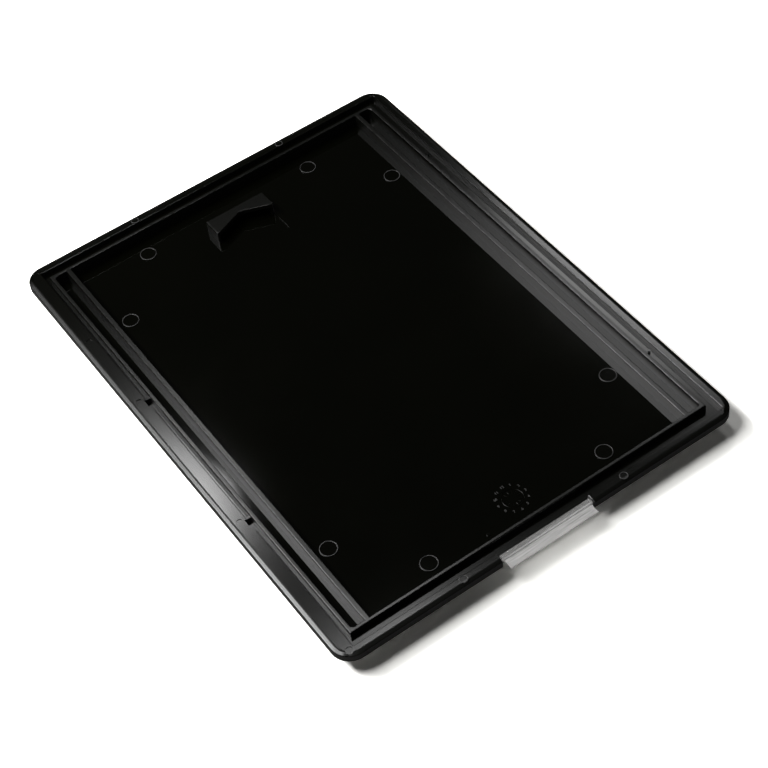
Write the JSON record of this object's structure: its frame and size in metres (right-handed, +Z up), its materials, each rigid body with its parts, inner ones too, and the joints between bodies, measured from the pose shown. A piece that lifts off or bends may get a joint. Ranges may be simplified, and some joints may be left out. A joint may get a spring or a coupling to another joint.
{
  "type": "comic book display frame",
  "caption": "Snap-together display frame for a comic book, lying face down: a black back frame with a nail hanger over a clear front cover with a pull tab.",
  "frame": {"origin": "centre of the window's front face, which lies on the table", "axes": "+Z up, out of the back of the frame; +Y towards the top end, where the hanger is; +X towards the long side on the right when the back is seen with the hanger up"},
  "size_m": [0.22, 0.2966, 0.0158],
  "materials": {
    "black_plastic": "moulded black styrene, glossy panel, satin ledges and wall tops",
    "clear_plastic": "clear moulded styrene, polished"
  },
  "bodies": {
    "cover": {"front_cover": "clear_plastic"},
    "back": {"back_frame": "black_plastic"}
  },
  "joints": [
    {"name": "back_opens", "type": "hinge", "parent": "cover", "child": "back", "pos_m": [0, 0.14605, 0.0106], "axis": [-1, 0, 0], "range_deg": [0, 75]}
  ]
}
